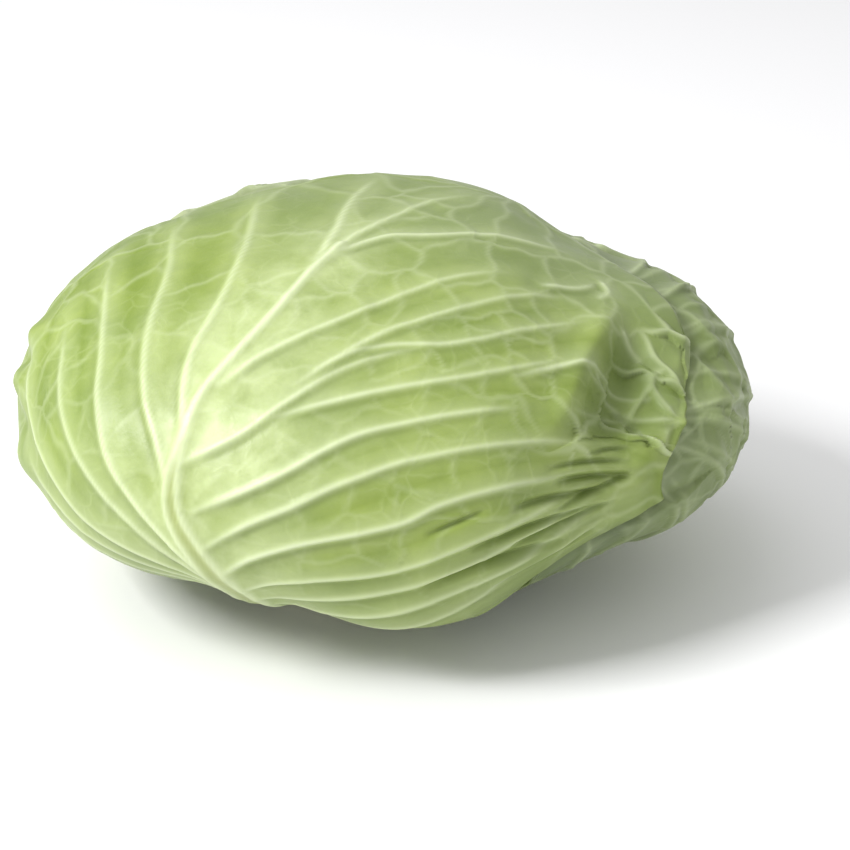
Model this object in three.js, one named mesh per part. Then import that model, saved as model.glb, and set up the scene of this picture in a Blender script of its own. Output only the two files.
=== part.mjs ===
// A flat-headed cabbage, cut from its root and lying on its underside.
// Eight wrapper leaves lie over one another like shells, twelve more fill the head,
// and all of them grow out of one short stem with a closed bud at its end.
// Millimetres, +Z up. +X runs along the longest side and -Y faces the viewer.
import * as THREE from 'three';

const { cos, sin, exp, max, min } = Math;
const rad = THREE.MathUtils.degToRad;
const deg = THREE.MathUtils.radToDeg;

// The head before it is shaped: half its length, depth and height, and its middle.
const HALF = new THREE.Vector3(112.5, 106, 62.2);
const MIDDLE = new THREE.Vector3(-0.2, -0.3, 53);
// Girth along the length, as [share of the half-length, share of the full girth].
const GIRTH = [
  [-1, 1.01], [-0.85, 1.03], [-0.5, 0.95], [0, 0.9],
  [0.3, 0.89], [0.6, 0.81], [0.85, 0.91], [1, 0.95],
];
// Swellings and hollows, as [bearing, latitude, reach, share of the radius], in degrees.
const SWELLS = [
  [-117, -62, 16, -0.2], [-112, -36, 18, -0.07], [-86, -33, 14, 0.1], [-145, -30, 20, -0.02],
  [-155, 0, 22, -0.02], [-45, -25, 25, -0.02], [90, 60, 30, 0.13],
];

// The stem points down and to the front left, and every leaf folds up from it.
const STEM_SIDE = heading(-117, -64);
const FRONT = new THREE.Vector3(0, 0, 1).addScaledVector(STEM_SIDE, -STEM_SIDE.z).normalize();
const RIGHT = new THREE.Vector3().crossVectors(FRONT, STEM_SIDE);
const STEM = { butt: 14.5, shoulder: 17, end: 5, proud: 1, gap: 0.6, clearance: 2.6, sides: 24 };
const SHOULDER_SHARE = 0.5;

// Turn of each wrapper leaf about the stem, outermost first: one golden angle apart.
const GOLDEN_ANGLE = 137.5;
const WRAPPER_COUNT = 8;
const WRAPPER = {
  halfWidth: 74, tip: 190, stalkStart: 8, blade: 1.1, rib: 1.6, ribWidth: 14, ribReach: 35,
  gap: 2.6, stalkGap: 1.3, gapReach: 50, cellsAlong: 17, cellsAcross: 14,
};

// The front leaf shows its midrib as a ridge on the outside.
const RIDGE = { height: 2, width: 7, reach: 60 };

// The leaves inside fill the space under the wrappers in even steps towards the heart.
const HEART = new THREE.Vector3(3, 5, 59);
const INNER_COUNT = 12;
const INNER = {
  halfWidth: 76, tip: 186, stalkStart: 22, first: 1, step: 0.062, blade: 0.019, rib: 0.008,
  ribWidth: 16, fewestCells: 7, moreCells: 8,
};
const BUD_SHARE = 0.25;
// Depth of that space below the plain head, and how much deeper it is at the crown.
const CORE = { depth: 22, crownDepth: 7, crownReach: 50 };

// How round the corners of a leaf are, and how narrow its stalk end is.
const ROUNDING = 0.25;
const STALK = { share: 0.4, spread: 0.22 };

/** Unit vector at a bearing (0 is +X, 90 is +Y) and a latitude, in degrees. */
function heading(bearing, latitude) {
  const level = cos(rad(latitude));
  return new THREE.Vector3(level * cos(rad(bearing)), level * sin(rad(bearing)), sin(rad(latitude)));
}

/** Smooth step from 0 at or below `low` to 1 at or above `high`. */
function ease(value, low, high) {
  return THREE.MathUtils.smoothstep(value, low, high);
}

/** Girth at a share of the half-length, a smooth curve through the stations of GIRTH. */
function girth(share) {
  const last = GIRTH.length - 1;
  const slope = (i) => {
    const [before, after] = [GIRTH[max(i - 1, 0)], GIRTH[min(i + 1, last)]];
    return (after[1] - before[1]) / (after[0] - before[0]);
  };
  let i = 0;
  while (i < last - 1 && share > GIRTH[i + 1][0]) i += 1;
  const span = GIRTH[i + 1][0] - GIRTH[i][0];
  const t = (share - GIRTH[i][0]) / span;
  return (2 * t ** 3 - 3 * t ** 2 + 1) * GIRTH[i][1] + (t ** 3 - 2 * t ** 2 + t) * span * slope(i)
    + (3 * t ** 2 - 2 * t ** 3) * GIRTH[i + 1][1] + (t ** 3 - t ** 2) * span * slope(i + 1);
}

/** Point of the plain head for a unit vector, from its middle, without swellings. */
function plainSkin(d) {
  const g = girth(d.x);
  return new THREE.Vector3(HALF.x * d.x, HALF.y * d.y * g, HALF.z * d.z * g);
}

/** Point of the head's skin for a unit vector, flattened where it rests on the ground. */
function skin(d) {
  let swell = 1;
  for (const [bearing, latitude, reach, share] of SWELLS) {
    swell += share * exp((d.dot(heading(bearing, latitude)) - 1) / (rad(reach) ** 2 / 2));
  }
  const point = plainSkin(d).multiplyScalar(swell).add(MIDDLE);
  point.z = max(point.z, 0);
  return point;
}

/** Outward normal of the head's skin for a unit vector. */
function outward(d) {
  const g = girth(d.x);
  return new THREE.Vector3(d.x / HALF.x, d.y / (HALF.y * g), d.z / (HALF.z * g)).normalize();
}

/** The two axes of a leaf turned about the stem: along its midrib, and across it. */
function leafAxes(turn) {
  const along = FRONT.clone().multiplyScalar(cos(rad(turn))).addScaledVector(RIGHT, sin(rad(turn)));
  const across = RIGHT.clone().multiplyScalar(cos(rad(turn))).addScaledVector(FRONT, -sin(rad(turn)));
  return { along, across };
}

/** Unit vector at p degrees from the stem along a leaf's midrib and q degrees to its side. */
function leafDirection({ along, across }, p, q) {
  const rib = STEM_SIDE.clone().multiplyScalar(cos(rad(p))).addScaledVector(along, sin(rad(p)));
  return rib.multiplyScalar(cos(rad(q))).addScaledVector(across, sin(rad(q)));
}

/** The p and q of a unit vector on a leaf, with p counted on past the crown. */
function leafPlace({ along, across }, d) {
  const angle = deg(Math.atan2(d.dot(along), d.dot(STEM_SIDE)));
  const p = angle < -90 ? angle + 360 : angle;
  const q = deg(Math.asin(THREE.MathUtils.clamp(d.dot(across), -1, 1)));
  return { p, q };
}

/** Thickness of a wrapper leaf: a thin blade, thicker along the midrib and most at the stalk. */
function wrapperThickness(p, q) {
  const stalk = exp(-max(p, 0) / WRAPPER.ribReach);
  return WRAPPER.blade + WRAPPER.rib * exp(-((q / WRAPPER.ribWidth) ** 2)) * stalk;
}

const wrapperAxes = Array.from({ length: WRAPPER_COUNT }, (_, i) => leafAxes(i * GOLDEN_ANGLE));

/** The free space kept under a wrapper leaf, least at the stalk. */
function wrapperGap(p) {
  return WRAPPER.stalkGap + (WRAPPER.gap - WRAPPER.stalkGap) * ease(p, 0, WRAPPER.gapReach);
}

/** Depth below the skin that the first `count` wrapper leaves take up at a unit vector. */
function wrappedDepth(count, d) {
  const fade = 90 - WRAPPER.halfWidth;
  let depth = 0;
  for (const axes of wrapperAxes.slice(0, count)) {
    const { p, q } = leafPlace(axes, d);
    const beyond = max(Math.abs(q) - WRAPPER.halfWidth, p - WRAPPER.tip, -p, 0);
    depth += (wrapperThickness(p, q) + wrapperGap(p)) * (1 - ease(beyond, 1, fade));
  }
  return depth;
}

/** Point at a share of the way from the heart to the space under the wrapper leaves. */
function corePoint(d, share) {
  const angle = deg(Math.acos(THREE.MathUtils.clamp(d.dot(STEM_SIDE), -1, 1)));
  const depth = CORE.depth + CORE.crownDepth * exp(-(((180 - angle) / CORE.crownReach) ** 2));
  const point = plainSkin(d).add(MIDDLE).addScaledVector(outward(d), -depth);
  return point.sub(HEART).multiplyScalar(share).add(HEART);
}

// The stem's axis runs from the heart out through its cut face.
const stemAxis = skin(STEM_SIDE).sub(HEART).normalize();
const stemStart = budReach() + STEM.gap;
const stemLength = skin(STEM_SIDE).distanceTo(HEART) + STEM.proud - stemStart;

/** How far along the stem's axis the bud reaches within the width of the stem's end. */
function budReach() {
  const points = heartBud().attributes.position;
  const offset = new THREE.Vector3();
  let reach = 0;
  for (let i = 0; i < points.count; i += 1) {
    offset.fromBufferAttribute(points, i).sub(HEART);
    const along = offset.dot(stemAxis);
    if (Math.sqrt(offset.lengthSq() - along ** 2) < 2 * STEM.end) reach = max(reach, along);
  }
  return reach;
}

/** Radius of the stem at a distance from the heart. */
function stemRadius(distance) {
  const share = THREE.MathUtils.clamp((distance - stemStart) / stemLength, 0, 1);
  return share < SHOULDER_SHARE
    ? STEM.end + (STEM.shoulder - STEM.end) * (share / SHOULDER_SHARE)
    : STEM.shoulder + (STEM.butt - STEM.shoulder) * ((share - SHOULDER_SHARE) / (1 - SHOULDER_SHARE));
}

/** Clear distance between a point and the side of the stem. */
function stemClearance(point) {
  const offset = point.clone().sub(HEART);
  const along = offset.dot(stemAxis);
  return Math.sqrt(max(offset.lengthSq() - along ** 2, 0)) - stemRadius(along);
}

/** p and q on a leaf for u from stalk (-1) to tip (1) and v from side (-1) to side (1). */
function leafOutline({ base, tip, halfWidth }, u, v) {
  const narrow = STALK.share + (1 - STALK.share) * ease(u, -1, -1 + 2 * STALK.spread);
  const along = u * Math.sqrt(1 - ROUNDING * v * v * (u > 0 ? 1 : 0));
  return {
    p: (base + tip) / 2 + ((tip - base) / 2) * along,
    q: halfWidth * v * narrow * Math.sqrt(1 - ROUNDING * u * u * (u > 0 ? 1 : 0)),
  };
}

/** A closed leaf shell from two surfaces of p and q, joined around the leaf's edge. */
function leafShell(outside, inside, shape, cellsAlong, cellsAcross) {
  const positions = [];
  const index = [];
  const row = cellsAcross + 1;
  const side = (cellsAlong + 1) * row;
  for (const surface of [outside, inside]) {
    for (let i = 0; i <= cellsAlong; i += 1) {
      for (let j = 0; j <= cellsAcross; j += 1) {
        const { p, q } = leafOutline(shape, -1 + (2 * i) / cellsAlong, -1 + (2 * j) / cellsAcross);
        positions.push(...surface(p, q).toArray());
      }
    }
  }
  const quad = (a, b, c, d) => index.push(a, b, c, a, c, d);
  for (let i = 0; i < cellsAlong; i += 1) {
    for (let j = 0; j < cellsAcross; j += 1) {
      const a = i * row + j;
      quad(a, a + 1, a + row + 1, a + row);
      quad(side + a, side + a + row, side + a + row + 1, side + a + 1);
    }
  }
  const edge = [];
  for (let j = 0; j < cellsAcross; j += 1) edge.push(j);
  for (let i = 0; i < cellsAlong; i += 1) edge.push(i * row + cellsAcross);
  for (let j = cellsAcross; j > 0; j -= 1) edge.push(cellsAlong * row + j);
  for (let i = cellsAlong; i > 0; i -= 1) edge.push(i * row);
  edge.forEach((a, k) => {
    const b = edge[(k + 1) % edge.length];
    quad(b, a, side + a, side + b);
  });
  const geometry = new THREE.BufferGeometry();
  geometry.setAttribute('position', new THREE.Float32BufferAttribute(positions, 3));
  geometry.setIndex(index);
  geometry.computeVertexNormals();
  return geometry;
}

/** Smallest p past `first` from which the whole stalk of a leaf stands clear of the stem. */
function stalkBase(surfaces, shape, first) {
  for (let base = first; base < 60; base += 0.5) {
    const clear = [-1, -0.5, 0, 0.5, 1].every((v) => [-1, -0.93, -0.86].every((u) => {
      const { p, q } = leafOutline({ ...shape, base }, u, v);
      return surfaces.every((surface) => stemClearance(surface(p, q)) > STEM.clearance);
    }));
    if (clear) return base;
  }
  throw new Error('the stalk never clears the stem');
}

/** A wrapper leaf, counted from the outside. */
function wrapperLeaf(number) {
  const axes = wrapperAxes[number];
  const ridge = (p, q) => (number === 0
    ? RIDGE.height * exp(-((q / RIDGE.width) ** 2) - (p / RIDGE.reach) ** 2) : 0);
  const place = (p, q, lift, thickness) => {
    const d = leafDirection(axes, p, q);
    const depth = wrappedDepth(number, d) + thickness - lift;
    return skin(d).addScaledVector(outward(d), -depth);
  };
  const outside = (p, q) => place(p, q, ridge(p, q), 0);
  const inside = (p, q) => place(p, q, 0, wrapperThickness(p, q));
  const shape = { tip: WRAPPER.tip, halfWidth: WRAPPER.halfWidth };
  shape.base = stalkBase([inside, outside], shape, WRAPPER.stalkStart);
  return leafShell(outside, inside, shape, WRAPPER.cellsAlong, WRAPPER.cellsAcross);
}

/** A leaf of the head's filling, counted inwards. */
function innerLeaf(number) {
  const axes = leafAxes((WRAPPER_COUNT + number) * GOLDEN_ANGLE);
  const share = INNER.first - INNER.step * number;
  const thickness = (q) => INNER.blade + INNER.rib * exp(-((q / INNER.ribWidth) ** 2));
  const inside = (p, q) => corePoint(leafDirection(axes, p, q), share - thickness(q));
  const outside = (p, q) => corePoint(leafDirection(axes, p, q), share);
  const shape = { tip: INNER.tip, halfWidth: INNER.halfWidth };
  shape.base = stalkBase([inside, outside], shape, INNER.stalkStart);
  const cells = Math.round(INNER.fewestCells + INNER.moreCells * share);
  return leafShell(outside, inside, shape, cells, cells);
}

/** The bud of folded young leaves at the end of the stem. */
function heartBud() {
  const geometry = new THREE.SphereGeometry(1, 20, 12);
  const points = geometry.attributes.position;
  const d = new THREE.Vector3();
  for (let i = 0; i < points.count; i += 1) {
    const point = corePoint(d.fromBufferAttribute(points, i).normalize(), BUD_SHARE);
    points.setXYZ(i, point.x, point.y, point.z);
  }
  geometry.computeVertexNormals();
  return geometry;
}

/** The stem, from the bud out to the face where the head was cut from its root. */
function cutStem() {
  const profile = [new THREE.Vector2(0, stemStart)];
  for (const share of [0, SHOULDER_SHARE, 0.94]) {
    const distance = stemStart + share * stemLength;
    profile.push(new THREE.Vector2(stemRadius(distance), distance));
  }
  profile.push(new THREE.Vector2(STEM.butt - 1.5, stemStart + stemLength));
  profile.push(new THREE.Vector2(0, stemStart + stemLength));
  const geometry = new THREE.LatheGeometry(profile, STEM.sides);
  geometry.applyQuaternion(
    new THREE.Quaternion().setFromUnitVectors(new THREE.Vector3(0, 1, 0), stemAxis),
  );
  geometry.translate(HEART.x, HEART.y, HEART.z);
  return geometry;
}

const cabbage = new THREE.Group();

/** Add one named piece with a matt leaf-like finish. */
function add(name, geometry, color) {
  const material = new THREE.MeshStandardMaterial({ color, roughness: 0.55, metalness: 0 });
  const mesh = new THREE.Mesh(geometry, material);
  mesh.name = name;
  cabbage.add(mesh);
}

const OUTER_GREEN = new THREE.Color(0xa9bf78);
const INNER_GREEN = new THREE.Color(0xdfe3a6);
const HEART_YELLOW = new THREE.Color(0xe9e2a0);
const STEM_WHITE = new THREE.Color(0xe6ead0);

add('stem', cutStem(), STEM_WHITE);
for (let i = 0; i < WRAPPER_COUNT; i += 1) {
  const color = OUTER_GREEN.clone().lerp(INNER_GREEN, (0.6 * i) / WRAPPER_COUNT);
  add(`wrapper_leaf_${i + 1}`, wrapperLeaf(i), color);
}
for (let i = 0; i < INNER_COUNT; i += 1) {
  const color = INNER_GREEN.clone().lerp(HEART_YELLOW, i / INNER_COUNT);
  add(`inner_leaf_${i + 1}`, innerLeaf(i), color);
}
add('heart_bud', heartBud(), HEART_YELLOW);

export default cabbage;
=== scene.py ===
"""A flat-headed cabbage lying on its underside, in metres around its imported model.

Every leaf is a thin closed shell over the head. A place on a leaf is p degrees from the stem
along the midrib and q degrees to its side, and the unit vector there is
cos q (cos p * stem side + sin p * along) + sin q * across.
"""

import bpy
import numpy as np
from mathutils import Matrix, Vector


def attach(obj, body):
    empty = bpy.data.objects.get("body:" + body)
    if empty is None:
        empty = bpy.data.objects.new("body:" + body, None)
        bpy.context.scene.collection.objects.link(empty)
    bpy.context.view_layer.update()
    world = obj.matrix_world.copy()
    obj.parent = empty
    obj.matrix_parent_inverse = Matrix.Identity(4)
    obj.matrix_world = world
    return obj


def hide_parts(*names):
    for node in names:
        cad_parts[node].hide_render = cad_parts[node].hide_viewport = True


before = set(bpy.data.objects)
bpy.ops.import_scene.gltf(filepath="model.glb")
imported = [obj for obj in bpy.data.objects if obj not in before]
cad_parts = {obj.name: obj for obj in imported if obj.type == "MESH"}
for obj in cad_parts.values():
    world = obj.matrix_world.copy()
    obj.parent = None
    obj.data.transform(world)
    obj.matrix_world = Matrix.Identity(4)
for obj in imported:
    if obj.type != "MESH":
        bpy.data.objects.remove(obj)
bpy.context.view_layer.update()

# ------------------------------------------------------------------------------- studio
# A long lens looks down at the cabbage on a plain pale floor. A strong soft light stands
# high to the left, a weaker one hangs above, and the room is white.
scene = bpy.context.scene
scene.view_settings.view_transform = "Standard"

CAMERA_TARGET = np.array((0.0132, 0.0, 0.0431))
CAMERA_DISTANCE = 0.66
CAMERA_ELEVATION = 25.0
CAMERA_LENS = 90.0
LIGHTS_AIM = (0.0, 0.0, 0.05)
ROOM_COLOUR, ROOM_STRENGTH = (1.0, 1.0, 1.0, 1.0), 0.64


def aim(thing, place, target):
    """Puts a camera or light at a place and turns its -Z axis towards a target."""
    thing.location = Vector(place)
    thing.rotation_euler = Vector(np.subtract(target, place)).to_track_quat("-Z", "Y").to_euler()
    scene.collection.objects.link(thing)


rise = np.radians(CAMERA_ELEVATION)
camera = bpy.data.objects.new("camera", bpy.data.cameras.new("camera"))
camera.data.lens = CAMERA_LENS
aim(camera, CAMERA_TARGET + CAMERA_DISTANCE * np.array((0, -np.cos(rise), np.sin(rise))), CAMERA_TARGET)
scene.camera = camera

for name, place, size, power in (
    ("key light", (-1.0, -0.48, 1.07), 0.5, 21.0),
    ("top light", (-0.4, 0.1, 1.3), 0.9, 3.0),
):
    lamp = bpy.data.lights.new(name, "AREA")
    lamp.shape = "SQUARE"
    lamp.size = size
    lamp.energy = power
    aim(bpy.data.objects.new(name, lamp), place, LIGHTS_AIM)

room = bpy.data.worlds.new("white room")
room.use_nodes = True
backdrop = room.node_tree.nodes["Background"]
backdrop.inputs["Color"].default_value = ROOM_COLOUR
backdrop.inputs["Strength"].default_value = ROOM_STRENGTH
scene.world = room

FLOOR_HALF = 4.0
FLOOR_COLOUR, FLOOR_ROUGHNESS = (0.93, 0.93, 0.94, 1.0), 0.8
floor_mesh = bpy.data.meshes.new("floor")
floor_corners = [(x * FLOOR_HALF, y * FLOOR_HALF, 0) for x, y in ((-1, -1), (1, -1), (1, 1), (-1, 1))]
floor_mesh.from_pydata(floor_corners, [], [(0, 1, 2, 3)])
floor = bpy.data.objects.new("floor", floor_mesh)
scene.collection.objects.link(floor)
floor_finish = bpy.data.materials.new("pale floor")
floor_finish.use_nodes = True
floor_shader = floor_finish.node_tree.nodes["Principled BSDF"]
floor_shader.inputs["Base Color"].default_value = FLOOR_COLOUR
floor_shader.inputs["Roughness"].default_value = FLOOR_ROUGHNESS
floor_mesh.materials.append(floor_finish)

# --------------------------------------------------------------------------------- stem
# The short woody stem that carries every leaf. It is thick where it was cut from the root,
# tapers into the head, and shows pale pith and a ring of fibres on its cut face.
HEAD_HALF = np.array((0.1125, 0.106, 0.0622))
HEAD_MIDDLE = np.array((-0.0002, -0.0003, 0.053))
HEAD_GIRTH = np.array((
    (-1, 1.01), (-0.85, 1.03), (-0.5, 0.95), (0, 0.9), (0.3, 0.89), (0.6, 0.81), (0.85, 0.91), (1, 0.95),
))
HEAD_SWELLS = (
    (-117, -62, 16, -0.2), (-112, -36, 18, -0.07), (-86, -33, 14, 0.1), (-145, -30, 20, -0.02),
    (-155, 0, 22, -0.02), (-45, -25, 25, -0.02), (90, 60, 30, 0.13),
)
HEART = np.array((0.003, 0.005, 0.059))
MM = 0.001


def unit(v):
    """A vector, or each of an array of vectors, divided by its length."""
    return v / np.linalg.norm(v, axis=-1, keepdims=True)


def ease(value, low, high):
    """Smooth step: 3 t^2 - 2 t^3, where t goes from 0 at low to 1 at high."""
    t = np.clip((np.asarray(value, float) - low) / (high - low), 0, 1)
    return t * t * (3 - 2 * t)


def heading(bearing, latitude):
    """Unit vector at a bearing (0 is +X, 90 is +Y) and a latitude, in degrees."""
    b, l = np.radians(bearing), np.radians(latitude)
    return np.array((np.cos(l) * np.cos(b), np.cos(l) * np.sin(b), np.sin(l)))


def cubic(t, start, end, start_slope, end_slope):
    """Cubic from start (t = 0) to end (t = 1) that leaves and arrives with the given slopes."""
    return ((2 * t**3 - 3 * t**2 + 1) * start + (t**3 - 2 * t**2 + t) * start_slope
            + (3 * t**2 - 2 * t**3) * end + (t**3 - t**2) * end_slope)


def smooth_curve(stations, steps):
    """Points on a smooth curve through the stations: each stretch is the cubic whose slope at
    a station is half the way between its two neighbours."""
    s = np.asarray(stations, float)
    slope = (np.vstack((s[1:], 2 * s[-1:] - s[-2:-1])) - np.vstack((2 * s[:1] - s[1:2], s[:-1]))) / 2
    t = (np.arange(steps) / steps)[None, :, None]
    stretch = cubic(t, s[:-1, None], s[1:, None], slope[:-1, None], slope[1:, None])
    return np.vstack((stretch.reshape(-1, s.shape[1]), s[-1:]))


def girth(share):
    """Girth at a share of the half-length: the cubic through the stations of HEAD_GIRTH."""
    at, size = HEAD_GIRTH.T
    lower, upper = np.r_[0, 0:len(at) - 1], np.r_[1:len(at), len(at) - 1]
    slope = (size[upper] - size[lower]) / (at[upper] - at[lower])
    i = np.clip(np.searchsorted(at, share, side="right") - 1, 0, len(at) - 2)
    span = at[i + 1] - at[i]
    t = (share - at[i]) / span
    return cubic(t, size[i], size[i + 1], span * slope[i], span * slope[i + 1])


def head_scale(d):
    """Half-sizes of the plain head for unit vectors: its depth and height follow its girth."""
    g = girth(d[..., 0])
    return HEAD_HALF * np.stack((np.ones_like(g), g, g), -1)


def outward(d):
    """Outward normal of the plain head for unit vectors."""
    return unit(d / head_scale(d))


def skin(d):
    """Point of the head's skin for unit vectors: the plain head times one plus its swellings,
    each share * exp((cosine of the angle to its heading - 1) / (reach^2 / 2)), above the floor."""
    swell = 1 + sum(share * np.exp((d @ heading(b, l) - 1) / (np.radians(reach) ** 2 / 2))
                    for b, l, reach, share in HEAD_SWELLS)
    point = head_scale(d) * d * swell[..., None] + HEAD_MIDDLE
    point[..., 2] = np.maximum(point[..., 2], 0)
    return point


def srgb(red, green, blue):
    """A colour given as three numbers of 255, made linear."""
    c = np.array((red, green, blue)) / 255
    return (*np.where(c <= 0.04045, c / 12.92, ((c + 0.055) / 1.055) ** 2.4), 1.0)


def shell_piece(name, vertices, faces, material, nodes, marks=()):
    """A smooth mesh piece with its named vertex marks, riding on the body in place of CAD nodes."""
    mesh = bpy.data.meshes.new(name)
    faces = np.ascontiguousarray(faces, np.int32)
    mesh.vertices.add(len(vertices))
    mesh.vertices.foreach_set("co", np.ascontiguousarray(vertices, np.float32).ravel())
    mesh.loops.add(faces.size)
    mesh.loops.foreach_set("vertex_index", faces.ravel())
    mesh.polygons.add(len(faces))
    mesh.polygons.foreach_set("loop_start", np.arange(0, faces.size, faces.shape[1], dtype=np.int32))
    mesh.update(calc_edges=True)
    mesh.polygons.foreach_set("use_smooth", np.ones(len(faces), bool))
    for mark, values in dict(marks).items():
        layer = mesh.attributes.new(mark, "FLOAT", "POINT")
        layer.data.foreach_set("value", np.ascontiguousarray(values, np.float32))
    mesh.validate()
    mesh.materials.append(material)
    piece = bpy.data.objects.new(name, mesh)
    scene.collection.objects.link(piece)
    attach(piece, "root")
    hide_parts(*nodes)


def new_finish(name, roughness, bleed, bleed_scale):
    """A Principled material with some light bleeding through it, and its tree and shader."""
    finish = bpy.data.materials.new(name)
    finish.use_nodes = True
    shader = finish.node_tree.nodes["Principled BSDF"]
    shader.inputs["Roughness"].default_value = roughness
    shader.inputs["Subsurface Weight"].default_value = bleed
    shader.inputs["Subsurface Scale"].default_value = bleed_scale
    shader.inputs["Subsurface Radius"].default_value = (0.8, 1.0, 0.3)
    return finish, finish.node_tree, shader


def add_node(tree, kind, settings=(), **inputs):
    """Adds a node, sets its properties, and links or sets its inputs by name or number."""
    made = tree.nodes.new(kind)
    for key, value in dict(settings).items():
        setattr(made, key, value)
    for key, value in inputs.items():
        socket = made.inputs[int(key[1:])] if key[1:].isdigit() else made.inputs[key.replace("_", " ")]
        if isinstance(value, bpy.types.NodeSocket):
            tree.links.new(value, socket)
        else:
            socket.default_value = value
    return made


def blend_colour(tree, share, first, second, how="MIX"):
    """Colour between two colours by a share, with Blender's blend type."""
    made = tree.nodes.new("ShaderNodeMix")
    made.data_type, made.blend_type = "RGBA", how
    for socket, value in zip((made.inputs[0], made.inputs[6], made.inputs[7]), (share, first, second)):
        if isinstance(value, bpy.types.NodeSocket):
            tree.links.new(value, socket)
        else:
            socket.default_value = value
    return made.outputs[2]


def spread(tree, value, low, high, out_low=0.0, out_high=1.0):
    """A value carried from one range to another, and held at the ends."""
    made = add_node(tree, "ShaderNodeMapRange", {}, i0=value, i1=low, i2=high, i3=out_low, i4=out_high)
    return made.outputs[0]


def noise(tree, place, scale, detail=3.0, roughness=0.5):
    """Noise of so many waves a metre at a place."""
    return add_node(tree, "ShaderNodeTexNoise", {}, Vector=place, Scale=scale, Detail=detail,
                    Roughness=roughness).outputs[0]


def object_place(tree):
    """The place of a point on the object, in metres."""
    return tree.nodes.new("ShaderNodeTexCoord").outputs["Object"]


def ring_faces(count, around):
    """Triangles of a closed form turned in so many rings, with a point at each end, which come
    after the rings in its list of vertices."""
    i, j = np.meshgrid(np.arange(count - 1), np.arange(around), indexing="ij")
    a, b = i * around + j, i * around + (j + 1) % around
    quads = np.stack((a, b, b + around, a + around), -1).reshape(-1, 4)
    j, k = np.arange(around), (np.arange(around) + 1) % around
    first_end, last_end, last_ring = count * around, count * around + 1, (count - 1) * around
    caps = np.vstack((np.stack((np.full_like(j, first_end), k, j), -1),
                      np.stack((np.full_like(j, last_end), last_ring + j, last_ring + k), -1)))
    return np.vstack((quads[:, [0, 1, 2]], quads[:, [0, 2, 3]], caps))


STEM_SIDE = heading(-117, -64)
STEM_FROM, STEM_PROUD = 0.0175, 0.0012
RIM_LEAST, STEM_CLEAR, FACE_GRAIN = 0.0004, 0.0003, 0.00025
STEM_PROFILE = ((0.0, 0.0), (0.35, 0.007), (0.62, 0.0165), (0.85, 0.0158), (0.965, 0.0146), (1.0, 0.0128))
STEM_AROUND, STEM_STEPS, FACE_RINGS = 96, 8, 14
stem_end = skin(STEM_SIDE)
stem_axis = unit(stem_end - HEART)
stem_to = np.linalg.norm(stem_end - HEART) + STEM_PROUD


def turned_stem():
    """Rings about the stem's axis. The radius follows the profile, with ribs where the leaves
    were cut, radius * (1 + 0.03 cos 5a + 0.012 cos 13a), and the face is cut across in rings
    that stand and sink by 0.25 mm with its grain."""
    profile = smooth_curve(STEM_PROFILE, STEM_STEPS)
    profile[:, 1] = np.maximum(profile[:, 1], RIM_LEAST)
    along, radius = STEM_FROM + profile[:, 0] * (stem_to - STEM_FROM), profile[:, 1]
    face_share = 1 - np.arange(1, FACE_RINGS + 1) / (FACE_RINGS + 0.3)
    along = np.r_[along, np.full(FACE_RINGS, stem_to) + FACE_GRAIN * np.cos(34 * face_share)]
    radius = np.r_[radius, radius[-1] * face_share]
    angle = np.arange(STEM_AROUND) * 2 * np.pi / STEM_AROUND
    ribs = 1 + 0.03 * np.cos(5 * angle) + 0.012 * np.cos(13 * angle + 1)
    side = unit(np.cross(stem_axis, (0, 0, 1.0)))
    up = np.cross(stem_axis, side)
    ring = np.cos(angle)[:, None] * side + np.sin(angle)[:, None] * up
    rows = HEART + along[:, None, None] * stem_axis + (radius[:, None] * ribs)[..., None] * ring
    rows[..., 2] = np.maximum(rows[..., 2], STEM_CLEAR)
    ends = np.array((HEART + STEM_FROM * stem_axis, HEART + stem_to * stem_axis))
    ends[:, 2] = np.maximum(ends[:, 2], STEM_CLEAR)
    inner = np.r_[np.repeat(np.r_[np.ones(len(rows) - FACE_RINGS), face_share], STEM_AROUND), 1, 0]
    return np.vstack((rows.reshape(-1, 3), ends)), ring_faces(len(rows), STEM_AROUND), inner


stem_finish, tree, shader = new_finish("cut stem", 0.6, 0.2, 0.003)
place = object_place(tree)
pith = add_node(tree, "ShaderNodeAttribute", {"attribute_name": "face_share"}).outputs["Fac"]
fibre = spread(tree, noise(tree, place, 900, 4), 0.35, 0.7)
wood = blend_colour(tree, fibre, srgb(222, 224, 190), srgb(190, 192, 146))
core = blend_colour(tree, fibre, srgb(240, 240, 216), srgb(214, 216, 178))
ring_band = spread(tree, pith, 0.62, 0.8)
colour = blend_colour(tree, ring_band, core, wood)
dry = spread(tree, noise(tree, place, 160, 3), 0.5, 0.75, 0, 0.35)
tree.links.new(blend_colour(tree, dry, colour, srgb(168, 150, 102)), shader.inputs["Base Color"])
grain = noise(tree, place, 1400, 3)
bump = add_node(tree, "ShaderNodeBump", {}, Strength=0.4, Distance=0.0004, Height=grain)
tree.links.new(bump.outputs[0], shader.inputs["Normal"])
vertices, faces, face_share = turned_stem()
shell_piece("cut_stem", vertices, faces, stem_finish, ["stem"], {"face_share": face_share})

# ---------------------------------------------------------------------------- heart bud
# The closed bud at the end of the stem: young leaves folded tightly over one another, pale
# yellow and crinkled. It grows straight from the stem.
BUD_SHARE = 0.25
CORE_DEPTH, CROWN_DEPTH, CROWN_REACH = 0.022, 0.007, 50
BUD_AROUND, BUD_ROWS = 160, 90


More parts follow.
